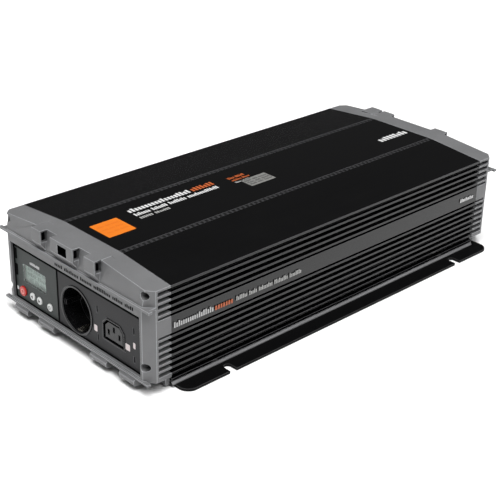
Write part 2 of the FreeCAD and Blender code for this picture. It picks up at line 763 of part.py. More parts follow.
# --- assembly -------------------------------------------------------------------------
nodes["housing_extrusion"] = housing()
nodes["base_plate"] = basePlate()
nodes["base_plate_screws"] = baseScrews()
nodes["front_cap"] = frontCapShell(frontLedge, [(-48.0, -35.0), (-21.0, 10.0), (25.0, 39.0)], halfWidth)
nodes["rear_cap"] = mirrorY(frontCapShell(rearLedge, [(-63.0, -49.0), (-46.0, -32.0), (22.0, 38.0)], 91.0))
nodes["front_cap_screws"] = capScrews()
nodes["rear_cap_screws"] = mirrorY(capScrews())
nodes["front_panel"] = frontPanel()
nodes["display_bezel"] = displayBezel()
nodes["display_lens"] = displayLens()
nodes["lcd_module"] = lcdModule()
nodes["display_board"] = displayBoard()
nodes["keypad_pad"] = keypadPad()
nodes["power_button"] = pushButton(powerX, powerR, 1.4)
for name, x in zip(("key_left", "key_middle", "key_right"), keyXs):
    nodes[name] = pushButton(x, keyR, 1.0)
nodes["socket_plate"] = socketPlate()
nodes["round_socket_body"] = socketBody()
nodes["earth_clips"] = earthClips()
nodes["round_socket_contacts"] = socketContacts()
nodes["three_pin_outlet_body"] = outletBody()
nodes["three_pin_outlet_contacts"] = outletContacts()
nodes["rear_panel"] = rearPanel()
for name, x in zip(("left", "right"), reversed(fanXs)):
    nodes["fan_frame_" + name] = fanFrame(x)
    nodes["fan_rotor_" + name] = fanRotor(x)
    nodes["fan_guard_" + name] = fanGuard(x)
nodes["fan_screws"] = fanScrews()
for name, x in zip(("negative", "positive"), terminalXs):
    nodes["terminal_base_" + name] = terminalBase(x)
    nodes["terminal_stud_" + name] = terminalStud(x)
    nodes["bus_bar_" + name] = busBar(x, 172.5)
nodes["terminal_nuts"] = terminalNuts()
nodes["bus_bar_nuts"] = busNuts()
nodes["earth_stud"] = earthStud()
nodes["earth_nuts"] = earthNuts()
nodes["remote_jack"] = remoteJack()
nodes["main_board"] = mainBoard()
nodes["board_standoffs"] = standoffs()
nodes["board_screws"] = boardScrews()
nodes["transformer_cores"] = transformerCores()
nodes["transformer_windings"] = transformerWindings()
nodes["input_capacitors"] = canCapacitors((-52.0, 52.0), (30.0, 52.0, 74.0, 96.0, 118.0), 8.0, 36.0)
nodes["bulk_capacitors"] = canCapacitors((-50.0, -22.0), (-90.0, -60.0, -30.0), 12.5, 45.0)
nodes["power_transistors_left"] = powerTransistors(-1)
nodes["power_transistors_right"] = powerTransistors(1)
nodes["clamp_bar_left"] = clampBar(-1)
nodes["clamp_bar_right"] = clampBar(1)
nodes["output_choke"] = inductor()
nodes["control_board"] = controlBoard()
nodes["output_relay"] = relay()
nodes["blade_fuses"] = fuses()
nodes["outlet_terminal_strip"] = terminalStrip()
nodes["outlet_wires"] = outletWires()

os.makedirs("parts", exist_ok=True)
for name, shape in nodes.items():
    shape.exportStep("parts/" + name + ".step")
    print(name, "valid" if shape.isValid() else "INVALID", len(shape.Solids), round(shape.Volume))
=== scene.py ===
import bpy
import math
import random
from mathutils import Matrix, Vector


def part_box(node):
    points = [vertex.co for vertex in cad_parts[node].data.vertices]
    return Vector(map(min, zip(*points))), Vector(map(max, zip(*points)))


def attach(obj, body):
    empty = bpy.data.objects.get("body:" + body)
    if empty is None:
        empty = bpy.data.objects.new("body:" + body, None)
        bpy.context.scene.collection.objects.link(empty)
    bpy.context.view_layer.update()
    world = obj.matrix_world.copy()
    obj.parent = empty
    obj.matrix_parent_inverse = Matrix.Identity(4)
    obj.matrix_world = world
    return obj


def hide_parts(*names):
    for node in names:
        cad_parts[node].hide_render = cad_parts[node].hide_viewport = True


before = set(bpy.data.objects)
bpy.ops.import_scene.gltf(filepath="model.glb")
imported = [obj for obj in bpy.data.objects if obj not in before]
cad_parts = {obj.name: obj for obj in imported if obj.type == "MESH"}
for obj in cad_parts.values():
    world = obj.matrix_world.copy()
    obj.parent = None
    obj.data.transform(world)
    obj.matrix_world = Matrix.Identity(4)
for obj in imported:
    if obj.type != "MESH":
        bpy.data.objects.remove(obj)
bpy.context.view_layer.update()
print("stage: frame loaded")

mm = 0.001
random.seed(7)


# small tools
def dropSelection():
    if bpy.context.object and bpy.context.object.mode != "OBJECT":
        bpy.ops.object.mode_set(mode="OBJECT")
    bpy.ops.object.select_all(action="DESELECT")


def takeOnly(piece):
    dropSelection()
    piece.select_set(True)
    bpy.context.view_layer.objects.active = piece


def applyAll(piece):
    takeOnly(piece)
    for modifier in list(piece.modifiers):
        bpy.ops.object.modifier_apply(modifier=modifier.name)


def bakePlace(piece):  # object back to the origin, place kept in the mesh
    takeOnly(piece)
    bpy.ops.object.transform_apply(location=True, rotation=True, scale=True)


def smoothByAngle(piece, degrees):
    takeOnly(piece)
    bpy.ops.object.shade_smooth_by_angle(angle=math.radians(degrees))


def dress(piece, *materials):
    piece.data.materials.clear()
    for material in materials:
        piece.data.materials.append(material)


def pickFaces(piece, wanted):  # leaves edit mode on, with the wanted faces selected
    takeOnly(piece)
    bpy.ops.object.mode_set(mode="EDIT")
    bpy.ops.mesh.select_mode(type="FACE")
    bpy.ops.mesh.select_all(action="DESELECT")
    bpy.ops.object.mode_set(mode="OBJECT")
    for face in piece.data.polygons:
        face.select = bool(wanted(face))
    bpy.ops.object.mode_set(mode="EDIT")


def raiseFlat(piece, thick):  # gives a flat outline its thickness
    takeOnly(piece)
    bpy.ops.object.mode_set(mode="EDIT")
    bpy.ops.mesh.select_all(action="SELECT")
    bpy.ops.mesh.extrude_region_move(TRANSFORM_OT_translate={"value": (0, 0, thick)})
    bpy.ops.mesh.select_all(action="SELECT")
    bpy.ops.mesh.normals_make_consistent(inside=False)
    bpy.ops.object.mode_set(mode="OBJECT")


# reading direction, up and outward for each side of the case
facings = {
    "top": ((0, 1, 0), (-1, 0, 0), (0, 0, 1)),
    "right": ((0, 1, 0), (0, 0, 1), (1, 0, 0)),
    "left": ((0, -1, 0), (0, 0, 1), (-1, 0, 0)),
    "front": ((1, 0, 0), (0, 0, 1), (0, -1, 0)),
    "rear": ((-1, 0, 0), (0, 0, 1), (0, 1, 0)),
    "under": ((1, 0, 0), (0, -1, 0), (0, 0, -1)),
}


def layOn(piece, facing, centre):  # from flat on the ground to its place on one side of the case
    turn = Matrix(facings[facing]).transposed().to_4x4()
    piece.matrix_world = Matrix.Translation(Vector(centre)) @ turn
    bakePlace(piece)


# materials
def startMaterial(name, roughness, metallic=0.0):
    material = bpy.data.materials.new(name)
    material.use_nodes = True
    nodes = material.node_tree.nodes
    shader = nodes["Principled BSDF"]
    shader.inputs["Roughness"].default_value = roughness
    shader.inputs["Metallic"].default_value = metallic
    place = nodes.new("ShaderNodeTexCoord")
    return material, shader, place


noiseRoughness = 0.55


def addNoise(material, place, scale, detail=4.0, stretch=(1, 1, 1)):
    nodes, links = material.node_tree.nodes, material.node_tree.links
    mapping = nodes.new("ShaderNodeMapping")
    mapping.inputs["Scale"].default_value = stretch
    noise = nodes.new("ShaderNodeTexNoise")
    noise.inputs["Scale"].default_value = scale
    noise.inputs["Detail"].default_value = detail
    noise.inputs["Roughness"].default_value = noiseRoughness
    links.new(place.outputs["Object"], mapping.inputs["Vector"])
    links.new(mapping.outputs["Vector"], noise.inputs["Vector"])
    return noise.outputs["Fac"]


def addRamp(material, factor, stops):  # stops are pairs of place and colour
    nodes, links = material.node_tree.nodes, material.node_tree.links
    ramp = nodes.new("ShaderNodeValToRGB")
    elements = ramp.color_ramp.elements
    while len(elements) < len(stops):
        elements.new(0.5)
    for element, (spot, colour) in zip(elements, stops):
        element.position = spot
        element.color = (*colour, 1)
    links.new(factor, ramp.inputs["Fac"])
    return ramp.outputs["Color"]


def addRange(material, factor, low, high, fromLow=0.3, fromHigh=0.7):
    nodes, links = material.node_tree.nodes, material.node_tree.links
    remap = nodes.new("ShaderNodeMapRange")
    remap.inputs["From Min"].default_value = fromLow
    remap.inputs["From Max"].default_value = fromHigh
    remap.inputs["To Min"].default_value = low
    remap.inputs["To Max"].default_value = high
    links.new(factor, remap.inputs["Value"])
    return remap.outputs["Result"]


def addBump(material, shader, heights):  # each height with its depth in metres and its strength
    nodes, links = material.node_tree.nodes, material.node_tree.links
    last = None
    for height, distance, strength in heights:
        bump = nodes.new("ShaderNodeBump")
        bump.inputs["Distance"].default_value = distance
        bump.inputs["Strength"].default_value = strength
        links.new(height, bump.inputs["Height"])
        if last is not None:
            links.new(last, bump.inputs["Normal"])
        last = bump.outputs["Normal"]
    links.new(last, shader.inputs["Normal"])


def shade(colour, factor):
    return tuple(min(1.0, c * factor) for c in colour)


def mouldedPlastic(name, colour, roughness, grain=2600.0, depth=0.00004, spread=0.12, shine=0.5):
    material, shader, place = startMaterial(name, roughness)
    shader.inputs["Specular IOR Level"].default_value = shine
    links = material.node_tree.links
    broad = addNoise(material, place, 60.0, 3.0)
    fine = addNoise(material, place, grain, 3.0)
    tint = addRamp(material, broad, [(0.3, shade(colour, 1 - spread)), (0.7, shade(colour, 1 + spread))])
    links.new(tint, shader.inputs["Base Color"])
    links.new(addRange(material, fine, roughness - 0.07, roughness + 0.09), shader.inputs["Roughness"])
    addBump(material, shader, [(fine, depth, 0.6), (broad, depth * 2, 0.15)])
    return material


def anodised(name, colour, roughness, shine=0.5):
    material, shader, place = startMaterial(name, roughness)
    links = material.node_tree.links
    shader.inputs["Specular IOR Level"].default_value = shine
    draw = addNoise(material, place, 1.0, 6.0, stretch=(1500, 9, 1500))
    cloud = addNoise(material, place, 22.0, 3.0)
    grit = addNoise(material, place, 4200.0, 2.0)
    tint = addRamp(material, draw, [(0.25, shade(colour, 0.75)), (0.75, shade(colour, 1.35))])
    links.new(tint, shader.inputs["Base Color"])
    links.new(addRange(material, cloud, roughness - 0.02, roughness + 0.03), shader.inputs["Roughness"])
    addBump(material, shader, [(draw, 0.00002, 0.2), (grit, 0.00001, 0.2)])
    return material


def castMetal(name, colour, roughness):
    material, shader, place = startMaterial(name, roughness)
    links = material.node_tree.links
    cloud = addNoise(material, place, 35.0, 4.0)
    orange = addNoise(material, place, 900.0, 2.0)
    grit = addNoise(material, place, 3500.0, 2.0)
    tint = addRamp(material, cloud, [(0.3, shade(colour, 0.9)), (0.7, shade(colour, 1.08))])
    links.new(tint, shader.inputs["Base Color"])
    links.new(addRange(material, orange, roughness - 0.06, roughness + 0.08), shader.inputs["Roughness"])
    addBump(material, shader, [(orange, 0.00006, 0.5), (grit, 0.00003, 0.4)])
    return material


def plainMetal(name, colour, roughness, stretch=(300, 300, 300)):
    material, shader, place = startMaterial(name, roughness, 1.0)
    links = material.node_tree.links
    lines = addNoise(material, place, 3.0, 5.0, stretch=stretch)
    stain = addNoise(material, place, 140.0, 3.0)
    tint = addRamp(material, stain, [(0.3, shade(colour, 0.82)), (0.7, shade(colour, 1.05))])
    links.new(tint, shader.inputs["Base Color"])
    links.new(addRange(material, lines, roughness - 0.08, roughness + 0.12), shader.inputs["Roughness"])
    addBump(material, shader, [(lines, 0.00002, 0.4)])
    return material


def inkPrint(name, colour, roughness=0.45, fade=0.12):
    material, shader, place = startMaterial(name, roughness)
    links = material.node_tree.links
    blot = addNoise(material, place, 900.0, 4.0)
    tint = addRamp(material, blot, [(0.35, shade(colour, 1 - fade)), (0.6, colour)])
    links.new(tint, shader.inputs["Base Color"])
    links.new(addRange(material, blot, roughness - 0.08, roughness + 0.1), shader.inputs["Roughness"])
    addBump(material, shader, [(blot, 0.00001, 0.3)])
    return material


def clearWindow(name):
    material, shader, place = startMaterial(name, 0.06)
    links = material.node_tree.links
    shader.inputs["Base Color"].default_value = (0.9, 0.96, 0.93, 1)
    shader.inputs["Transmission Weight"].default_value = 1.0
    shader.inputs["IOR"].default_value = 1.3
    dust = addNoise(material, place, 700.0, 4.0)
    links.new(addRange(material, dust, 0.03, 0.14, 0.4, 0.75), shader.inputs["Roughness"])
    return material


# the lighter ticks are painted highlight, standing in for light on the knurl ridges
def knurledStrip(name, colour, highlight, pitch):
    material, shader, place = startMaterial(name, 0.55)
    shader.inputs["Specular IOR Level"].default_value = 0.2
    nodes, links = material.node_tree.nodes, material.node_tree.links
    ticks = nodes.new("ShaderNodeTexWave")
    ticks.wave_type = "BANDS"
    ticks.bands_direction = "Y"
    ticks.inputs["Scale"].default_value = math.tau / (20 * pitch)
    ticks.inputs["Distortion"].default_value = 0.4
    links.new(place.outputs["Object"], ticks.inputs["Vector"])
    tint = addRamp(material, ticks.outputs["Fac"], [(0.35, colour), (0.75, highlight)])
    links.new(tint, shader.inputs["Base Color"])
    grit = addNoise(material, place, 3000.0, 2.0)
    links.new(addRange(material, grit, 0.5, 0.62), shader.inputs["Roughness"])
    addBump(material, shader, [(ticks.outputs["Fac"], 0.0001, 0.4), (grit, 0.00002, 0.4)])
    return material


looks = {
    "knurl": knurledStrip("knurled_crease_painted_glints", (0.0015, 0.0015, 0.0015), (0.036, 0.036, 0.038), 0.0052),
    "blackAnodised": anodised("black_anodised_extrusion", (0.0014, 0.0014, 0.0016), 0.22, 0.45),
    "footHighlight": anodised("foot_edge_painted_highlight", (0.17, 0.17, 0.175), 0.35, 0.5),
    # near-black painted shade for hollows, gaps and the rib's shadow; also used for the header print
    "pocket": mouldedPlastic("painted_shade_and_print_black", (0.002, 0.002, 0.0022), 0.7, shine=0.03),
    # the looks ending in Edge are lighter copies for the bevel faces: painted highlight along the rounded edges
    "finEdgeHighlight": anodised("black_anodised_fin_edge_painted_highlight", (0.05, 0.05, 0.053), 0.42, 0.5),
    "blackSteel": mouldedPlastic("black_powder_coat", (0.0018, 0.0018, 0.002), 0.55, 1800.0, 0.00004,
                                 shine=0.1),
    "blackSteelEdgeHighlight": mouldedPlastic("black_powder_coat_edge_painted_highlight", (0.02, 0.02, 0.021), 0.45, 1800.0),
    "capGrey": castMetal("cap_grey_satin", (0.130, 0.131, 0.134), 0.42),
    "capEdgeHighlight": castMetal("cap_grey_edge_painted_highlight", (0.27, 0.275, 0.285), 0.36),
    "panel": mouldedPlastic("panel_charcoal", (0.011, 0.011, 0.0125), 0.42, shine=0.22),
    "panelEdgeHighlight": mouldedPlastic("panel_charcoal_edge_painted_highlight", (0.07, 0.072, 0.076), 0.4),
    "bezel": mouldedPlastic("bezel_grey_green", (0.022, 0.028, 0.026), 0.42, 3000.0, shine=0.25),
    "bezelEdgeHighlight": mouldedPlastic("bezel_grey_green_edge_painted_highlight", (0.07, 0.085, 0.08), 0.4, 3000.0),
    "window": clearWindow("clear_window"),
    "lcd": mouldedPlastic("lcd_grey_green", (0.23, 0.30, 0.27), 0.3, 5000.0, 0.00001, 0.05),
    "board": mouldedPlastic("green_solder_mask", (0.01, 0.09, 0.03), 0.35, 900.0),
    "silicone": mouldedPlastic("grey_silicone", (0.2, 0.2, 0.2), 0.7, 1500.0),
    "red": mouldedPlastic("translucent_red", (0.45, 0.025, 0.02), 0.33, 3200.0, 0.00002),
    "white": mouldedPlastic("key_white", (0.62, 0.63, 0.62), 0.4, 3200.0, 0.00002, 0.05),
    "black": mouldedPlastic("socket_black", (0.004, 0.004, 0.0045), 0.22, 2600.0, 0.00002, shine=0.4),
    "blackEdgeHighlight": mouldedPlastic("socket_black_edge_painted_highlight", (0.03, 0.03, 0.032), 0.3, 2600.0),
    "zinc": plainMetal("zinc_plate", (0.62, 0.63, 0.62), 0.3),
    "blackScrew": plainMetal("black_oxide", (0.035, 0.035, 0.037), 0.4),
    "nickel": plainMetal("bright_plated_contact", (0.8, 0.77, 0.68), 0.2),
    "copper": plainMetal("bare_copper", (0.75, 0.35, 0.2), 0.3),
    "fan": mouldedPlastic("fan_black", (0.035, 0.035, 0.037), 0.38, 2200.0),
    "terminalRed": mouldedPlastic("terminal_red", (0.42, 0.012, 0.01), 0.35, 2400.0),
    "orangeInk": inkPrint("orange_label", (0.64, 0.160, 0.010), 0.42, 0.09),
    "whiteInk": inkPrint("white_print", (0.6, 0.6, 0.6)),
    "greyInk": inkPrint("grey_print", (0.33, 0.33, 0.32)),
    "sideInk": inkPrint("side_print", (0.42, 0.42, 0.42)),
    "orangeShade": inkPrint("orange_label_shade", (0.56, 0.125, 0.009), 0.42, 0.05),
    "tableInk": inkPrint("table_print", (0.21, 0.21, 0.20), fade=0.35),
    # pale pinkish paint for the glints at the socket and outlet rims: painted highlight
    "glintPaint": inkPrint("pale_painted_glint", (0.66, 0.58, 0.58)),
    "darkInk": inkPrint("dark_print", (0.02, 0.02, 0.022)),
    "lcdInk": inkPrint("lcd_segments", (0.12, 0.165, 0.15)),
    "pinkInk": inkPrint("power_symbol_print", (0.8, 0.35, 0.3)),
    "silverPlate": plainMetal("silver_foil_plate", (0.55, 0.56, 0.57), 0.4),
    "rustInk": inkPrint("orange_print", (0.42, 0.09, 0.022)),
    "ferrite": mouldedPlastic("sintered_ferrite", (0.03, 0.03, 0.03), 0.6),
    "tape": mouldedPlastic("amber_tape", (0.5, 0.3, 0.05), 0.35),
    "sleeve": mouldedPlastic("capacitor_sleeve", (0.01, 0.015, 0.05), 0.3),
    "relayBlue": mouldedPlastic("relay_blue", (0.03, 0.08, 0.3), 0.35),
    "fuseAmber": mouldedPlastic("fuse_amber", (0.7, 0.3, 0.02), 0.3),
    "wire": mouldedPlastic("wire_brown", (0.12, 0.04, 0.02), 0.45),
}
print("stage: materials made")


# nodes that keep their own mesh
nodeLooks = {
    "base_plate_screws": "blackScrew", "front_cap_screws": "blackScrew", "rear_cap_screws": "blackScrew",
    "front_panel": "blackSteel", "lcd_module": "lcd", "display_board": "board", "keypad_pad": "silicone",
    "earth_clips": "nickel", "round_socket_contacts": "nickel", "three_pin_outlet_contacts": "nickel",
    "display_lens": "window",
    "fan_screws": "blackScrew", "terminal_stud_negative": "nickel", "terminal_stud_positive": "nickel",
    "bus_bar_negative": "copper", "bus_bar_positive": "copper", "terminal_nuts": "zinc", "bus_bar_nuts": "zinc",
    "earth_stud": "zinc", "earth_nuts": "zinc", "main_board": "board", "board_standoffs": "nickel",
    "board_screws": "zinc", "transformer_cores": "ferrite", "transformer_windings": "tape",
    "input_capacitors": "sleeve", "bulk_capacitors": "sleeve", "power_transistors_left": "fan",
    "power_transistors_right": "fan", "clamp_bar_left": "zinc", "clamp_bar_right": "zinc",
    "output_choke": "tape", "control_board": "board", "output_relay": "relayBlue", "blade_fuses": "fuseAmber",
    "outlet_terminal_strip": "board", "outlet_wires": "wire",
    "fan_guard_left": "zinc", "fan_guard_right": "zinc",
    "fan_rotor_left": "fan", "fan_rotor_right": "fan",
}
for node, look in nodeLooks.items():
    dress(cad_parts[node], looks[look])


# shapes that get their small edge rounding, with the bevel faces in a lighter look that is painted highlight
edgeWork = {"weldWithin": 0.00003, "flattenBelow": 0.6, "segments": 2, "bevelAbove": 32, "smoothBelow": 38,
            "faceWeight": 100}


def roundEdges(node, name, body, width, look, edgeHighlightLook):
    piece = bpy.data.objects.new(name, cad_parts[node].data.copy())
    bpy.context.scene.collection.objects.link(piece)
    takeOnly(piece)
    bpy.ops.object.mode_set(mode="EDIT")
    bpy.ops.mesh.select_all(action="SELECT")
    bpy.ops.mesh.remove_doubles(threshold=edgeWork["weldWithin"])
    bpy.ops.mesh.dissolve_limited(angle_limit=math.radians(edgeWork["flattenBelow"]))
    bpy.ops.object.mode_set(mode="OBJECT")
    bpy.ops.mesh.customdata_custom_splitnormals_clear()
    dress(piece, looks[look], looks[edgeHighlightLook])
    bevel = piece.modifiers.new("edge", "BEVEL")
    bevel.width = width * mm
    bevel.segments = edgeWork["segments"]
    bevel.limit_method = "ANGLE"
    bevel.angle_limit = math.radians(edgeWork["bevelAbove"])
    bevel.material = 1  # the bevel takes the lighter edge look, a painted highlight along the rounded edges
    bevel.use_clamp_overlap = False
    applyAll(piece)
    smoothByAngle(piece, edgeWork["smoothBelow"])
    settle = piece.modifiers.new("flat faces stay flat", "WEIGHTED_NORMAL")
    settle.keep_sharp = True
    settle.weight = edgeWork["faceWeight"]
    applyAll(piece)
    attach(piece, body)
    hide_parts(node)
    return piece


caseShells = [  # node, piece, slot, edge width in mm, look, painted highlight look of the edges
    ("housing_extrusion", "housing_shell", "black_anodised", 0.25, "blackAnodised", "finEdgeHighlight"),
    ("base_plate", "mounting_plate", "black_painted_steel", 0.4, "blackSteel", "blackSteelEdgeHighlight"),
    ("front_cap", "front_cap_casting", "cap_grey", 0.3, "capGrey", "capEdgeHighlight"),
    ("rear_cap", "rear_cap_casting", "cap_grey", 0.3, "capGrey", "capEdgeHighlight"),
    ("display_bezel", "display_frame", "bezel_grey_green", 0.3, "bezel", "bezelEdgeHighlight"),
    ("socket_plate", "outlet_plate", "panel_charcoal", 0.3, "panel", "panelEdgeHighlight"),
    ("round_socket_body", "round_socket_cup", "socket_black", 0.25, "black", "blackEdgeHighlight"),
    ("three_pin_outlet_body", "three_pin_outlet_cup", "socket_black", 0.25, "black", "blackEdgeHighlight"),
    ("rear_panel", "rear_plate", "black_painted_steel", 0.2, "blackSteel", "blackSteelEdgeHighlight"),
    ("fan_frame_left", "fan_housing_left", "fan_black", 0.3, "fan", "blackEdgeHighlight"),
    ("fan_frame_right", "fan_housing_right", "fan_black", 0.3, "fan", "blackEdgeHighlight"),
    ("terminal_base_negative", "terminal_collar_negative", "terminal_black", 0.3, "black", "blackEdgeHighlight"),
    ("terminal_base_positive", "terminal_collar_positive", "terminal_red", 0.3, "terminalRed", "terminalRed"),
    ("remote_jack", "remote_socket", "epoxy_black", 0.2, "black", "blackEdgeHighlight"),
]
shells = {}
for node, name, slot, width, look, edgeHighlightLook in caseShells:
    shells[name] = roundEdges(node, name, "chassis", width, look, edgeHighlightLook)
pressEdge = 0.15
roundEdges("power_button", "power_button_cap", "power_button", pressEdge, "red", "red")
for key in ("key_left", "key_middle", "key_right"):
    roundEdges(key, key + "_cap", key, pressEdge, "white", "white")
print("stage: edges rounded")


# painted highlight strip along the foot of the housing, and the knurled creases of its top, which carry painted
# highlight ticks; lengths in mm
footHighlightStrip = {"from": 98.9, "below": 5.6, "leastUp": -0.5}
crease = {"from": 36.3, "to": 39.7, "above": 96.6, "largestFace": 0.0006}
footHighlightIndex, creaseIndex, paintedShadeIndex = 2, 3, 2  # the shells already hold a look and a painted edge highlight look
housingShell = shells["housing_shell"]
housingShell.data.materials.append(looks["footHighlight"])
housingShell.data.materials.append(looks["knurl"])
for face in housingShell.data.polygons:
    out, high = abs(face.center.x), face.center.z
    if out > footHighlightStrip["from"] * mm and high < footHighlightStrip["below"] * mm and face.normal.z > footHighlightStrip["leastUp"]:
        face.material_index = footHighlightIndex
    isCrease = crease["from"] * mm < out < crease["to"] * mm and high > crease["above"] * mm
    if isCrease and face.area < crease["largestFace"]:
        face.material_index = creaseIndex

# painted shade on the insides of the pockets and of the air opening in each hood; lengths in mm
hoods = {
    "front_cap_casting": {"side": -1, "spans": ((-48, -35), (-21, 10), (25, 39))},
    "rear_cap_casting": {"side": 1, "spans": ((-63, -49), (-46, -32), (22, 38))},
}
hoodReach = 222.0
edgeGap = 0.3
pocket = {"from": 0.9, "to": 7.4, "deep": 4.8, "low": 87.0, "high": 96.9}
airWay = {"start": 10.0, "wide": 12.0, "from": 0.3, "to": 12.3, "low": 86.3, "high": 95.3, "leastBlock": 20.0}


def insideBox(point, low, high):
    return all(a * mm <= value <= b * mm for value, a, b in zip(point, low, high))


def alongCase(side, hollow):
    return sorted((side * (hoodReach - hollow["from"]), side * (hoodReach - hollow["to"])))


def hollowBoxes(side, spans):
    boxes = []
    for x0, x1 in spans:
        nearY, farY = alongCase(side, pocket)
        for left, right in ((x0 + edgeGap, x0 + pocket["deep"]), (x1 - pocket["deep"], x1 - edgeGap)):
            boxes.append(((left, nearY, pocket["low"]), (right, farY, pocket["high"])))
        if x1 - x0 > airWay["leastBlock"]:
            nearY, farY = alongCase(side, airWay)
            left = x0 + airWay["start"] - edgeGap
            right = x0 + airWay["start"] + airWay["wide"] + edgeGap
            boxes.append(((left, nearY, airWay["low"]), (right, farY, airWay["high"])))
    return boxes


# faces wholly inside a box get the near-black painted shade
def paintShadeInPockets(cap, boxes):
    cap.data.materials.append(looks["pocket"])
    for face in cap.data.polygons:
        corners = [cap.data.vertices[index].co for index in face.vertices]
        if any(all(insideBox(corner, low, high) for corner in corners) for low, high in boxes):
            face.material_index = paintedShadeIndex


for name, hood in hoods.items():
    paintShadeInPockets(shells[name], hollowBoxes(hood["side"], hood["spans"]))
print("stage: pockets and foot strip coloured")


# prints: plates with round corners and rows of plain blocks, which read as nothing
printThick = 0.00006
shadeThick = 0.00003
blockWork = {"columnsEach": 3, "tallShare": 0.4, "topQuarter": 0.25, "cornerSteps": 5, "rows": 4}


def finishPrint(piece, facing, centre, thick, look, body):
    raiseFlat(piece, thick)
    layOn(piece, facing, centre)
    dress(piece, looks[look])
    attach(piece, body)


def addPlate(name, facing, centre, size, corner, look, thick=printThick):
    dropSelection()
    bpy.ops.mesh.primitive_plane_add(size=1)
    plate = bpy.context.object
    plate.name = name
    plate.scale = (size[0], size[1], 1)
    bakePlace(plate)
    bpy.ops.object.mode_set(mode="EDIT")
    bpy.ops.mesh.select_all(action="SELECT")
    bpy.ops.mesh.bevel(offset=corner, segments=blockWork["cornerSteps"], affect="VERTICES")
    bpy.ops.object.mode_set(mode="OBJECT")
    finishPrint(plate, facing, centre, thick, look, "chassis")


def addBlockRow(name, facing, centre, length, height, look, words, thick=printThick):
    columnsEach = blockWork["columnsEach"]  # two columns of print and one of gap for each block
    blocks = sum(words) + len(words) - 1
    columns = blocks * columnsEach - 1
    dropSelection()
    bpy.ops.mesh.primitive_grid_add(x_subdivisions=columns, y_subdivisions=blockWork["rows"], size=1)
    row = bpy.context.object
    row.name = name
    row.scale = (length, height, 1)
    bakePlace(row)
    spaces, count = set(), 0
    for word in words[:-1]:
        count += word
        spaces.add(count)
        count += 1
    tall = [random.random() < blockWork["tallShare"] for _ in range(blocks)]

    def isGap(face):
        column = int((face.center.x / length + 0.5) * columns)
        block = column // columnsEach
        isTopRow = face.center.y > height * blockWork["topQuarter"]
        return column % columnsEach == columnsEach - 1 or block in spaces or (isTopRow and not tall[block])

    pickFaces(row, isGap)
    bpy.ops.mesh.delete(type="FACE")
    bpy.ops.object.mode_set(mode="OBJECT")
    finishPrint(row, facing, centre, thick, look, "chassis")


# orange label near the socket end, with fainter rows on it
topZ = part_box("housing_extrusion")[1].z
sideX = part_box("housing_extrusion")[1].x
topLabel = {"x": -0.002, "y": -0.1722, "side": 0.028, "corner": 0.0012, "thick": 0.00015,
            "rowShifts": (-0.007, -0.0005, 0.006), "rowLength": 0.021, "rowHeight": 0.0026, "words": (6, 5, 7)}
addPlate("orange_label", "top", (topLabel["x"], topLabel["y"], topZ), (topLabel["side"], topLabel["side"]),
         topLabel["corner"], "orangeInk", topLabel["thick"])
for index, shift in enumerate(topLabel["rowShifts"]):
    addBlockRow("orange_label_row_%d" % (index + 1), "top",
                (topLabel["x"] + shift, topLabel["y"], topZ + topLabel["thick"]), topLabel["rowLength"],
                topLabel["rowHeight"], "orangeShade", topLabel["words"], shadeThick)

topRows = [  # x, y from, y to, height, look, blocks in each word
    (-0.0190, -0.143, -0.075, 0.0068, "whiteInk", (19,)),
    (-0.0190, -0.072, -0.047, 0.0068, "rustInk", (7,)),
    (-0.0098, -0.143, -0.049, 0.0052, "whiteInk", (7, 7, 8, 15)),
    (-0.0022, -0.143, -0.111, 0.0036, "greyInk", (6, 7)),
    (-0.0165, -0.030, -0.011, 0.0038, "rustInk", (5, 7)),
    (-0.0110, -0.030, -0.009, 0.0030, "rustInk", (8, 6)),
    (-0.0060, -0.030, -0.013, 0.0028, "greyInk", (7, 6)),
]
for index, (x, yFrom, yTo, height, look, words) in enumerate(topRows):
    addBlockRow("top_print_row_%d" % (index + 1), "top", (x, (yFrom + yTo) / 2, topZ), yTo - yFrom, height,
                look, words)

# small grey table beside them
topTable = {"x": 0.0015, "y": -0.009, "size": (0.030, 0.016), "corner": 0.0008,
            "rowsAt": (-0.0025, 0.0015, 0.0055), "rowLength": 0.027, "rowHeight": 0.0027, "words": (5, 4, 6)}
addPlate("top_table_plate", "top", (topTable["x"], topTable["y"], topZ), topTable["size"],
         topTable["corner"], "tableInk")
for index, x in enumerate(topTable["rowsAt"]):
    addBlockRow("top_table_row_%d" % (index + 1), "top", (x, topTable["y"], topZ + printThick),
                topTable["rowLength"], topTable["rowHeight"], "darkInk", topTable["words"], shadeThick)
addBlockRow("top_rear_badge", "top", (0.0090, 0.170, topZ), 0.039, 0.0080, "whiteInk", (9,))

sideRows = [  # y from, y to, height, look, words, height above the foot
    (-0.193, -0.152, 0.0050, "sideInk", (18,), 0.0572),
    (-0.150, -0.131, 0.0050, "rustInk", (7,), 0.0572),
    (-0.127, -0.052, 0.0040, "greyInk", (7, 5, 9, 9, 8), 0.0572),
    (0.168, 0.188, 0.0036, "whiteInk", (10,), 0.0580),
]
for index, (yFrom, yTo, height, look, words, z) in enumerate(sideRows):
    for facing, side in (("right", 1), ("left", -1)):
        addBlockRow("side_print_%s_%d" % (facing, index + 1), facing,
                    (side * sideX, side * (yFrom + yTo) / 2, z), yTo - yFrom, height, look, words)
print("stage: case prints made")

